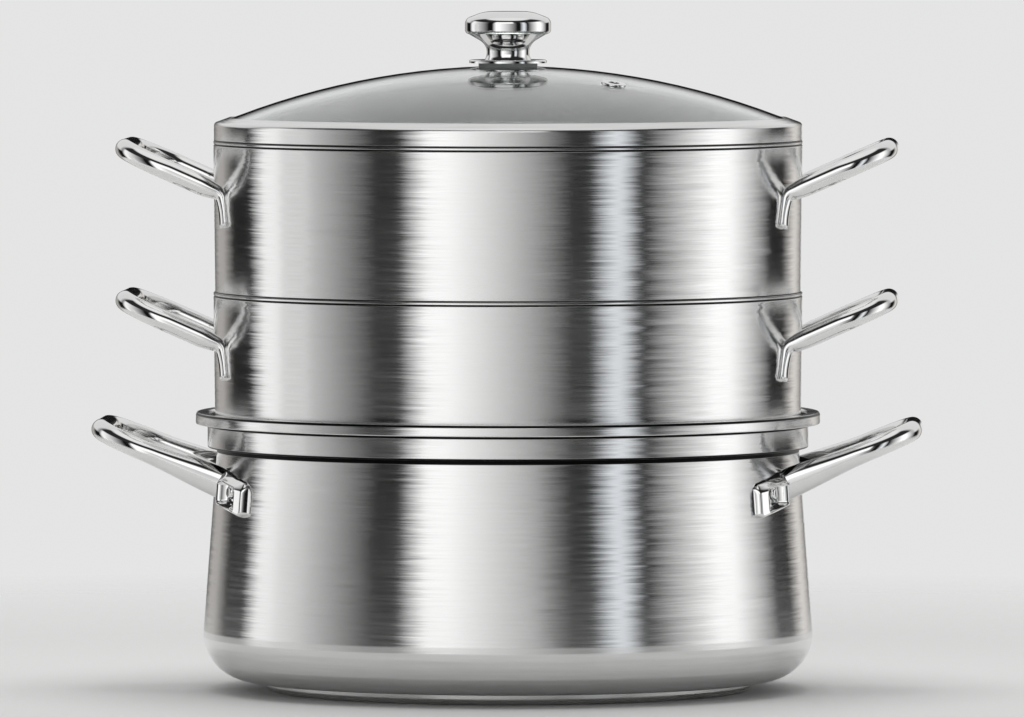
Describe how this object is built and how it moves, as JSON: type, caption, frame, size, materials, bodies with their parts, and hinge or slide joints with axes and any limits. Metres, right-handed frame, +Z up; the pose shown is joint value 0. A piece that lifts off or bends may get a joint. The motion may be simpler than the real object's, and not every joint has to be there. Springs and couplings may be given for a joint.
{
  "type": "steamer pot",
  "caption": "Stainless steel steamer pot: a flared pot with a stepped mouth carries stacking steamer tiers with loose perforated plates, a glass lid and loop handles.",
  "frame": {"origin": "middle of the flat underside of the pot's base, on the axis of the stack", "axes": "+Z up along the axis of the stack, +X along the line of the handles, +Y to the back"},
  "size_m": [0.3946, 0.2974, 0.3229],
  "materials": {
    "brushed_steel": "fine brushed round the wall",
    "polished_steel": "polished",
    "plate_steel": "satin",
    "base_steel": "circular brushed",
    "core_aluminium": "raw",
    "lid_glass": "clear tempered",
    "lid_silicone": "matt"
  },
  "bodies": {
    "pot": {"pot_shell": "brushed_steel", "pot_floor": "brushed_steel", "pot_collar": "brushed_steel", "pot_base_core": "core_aluminium", "pot_base_cap": "base_steel", "pot_handle_right": "polished_steel", "pot_handle_left": "polished_steel", "pot_handle_rivets": "polished_steel"},
    "lower_tier": {"lower_tier_shell": "brushed_steel", "lower_tier_ledge": "brushed_steel", "lower_tier_handle_right": "polished_steel", "lower_tier_handle_left": "polished_steel"},
    "lower_plate": {"lower_steam_plate": "plate_steel"},
    "upper_tier": {"upper_tier_shell": "brushed_steel", "upper_tier_ledge": "brushed_steel", "upper_tier_handle_right": "polished_steel", "upper_tier_handle_left": "polished_steel"},
    "upper_plate": {"upper_steam_plate": "plate_steel"},
    "lid": {"lid_band": "brushed_steel", "lid_seal": "lid_silicone", "lid_glass": "lid_glass", "lid_vent_eyelet": "polished_steel", "lid_knob": "polished_steel", "lid_knob_boss": "polished_steel", "lid_knob_collar": "polished_steel", "lid_knob_washer": "lid_silicone", "lid_glass_washer": "lid_silicone", "lid_screw_washer": "polished_steel", "lid_knob_screw": "polished_steel"}
  },
  "joints": [
    {"name": "lower_tier_lift", "type": "slide", "parent": "pot", "child": "lower_tier", "axis": [0, 0, 1], "range_m": [0, 0.12]},
    {"name": "lower_plate_lift", "type": "slide", "parent": "lower_tier", "child": "lower_plate", "axis": [0, 0, 1], "range_m": [0, 0.06]},
    {"name": "upper_tier_lift", "type": "slide", "parent": "lower_tier", "child": "upper_tier", "axis": [0, 0, 1], "range_m": [0, 0.12]},
    {"name": "upper_plate_lift", "type": "slide", "parent": "upper_tier", "child": "upper_plate", "axis": [0, 0, 1], "range_m": [0, 0.06]},
    {"name": "lid_lift", "type": "slide", "parent": "upper_tier", "child": "lid", "axis": [0, 0, 1], "range_m": [0, 0.12]}
  ]
}
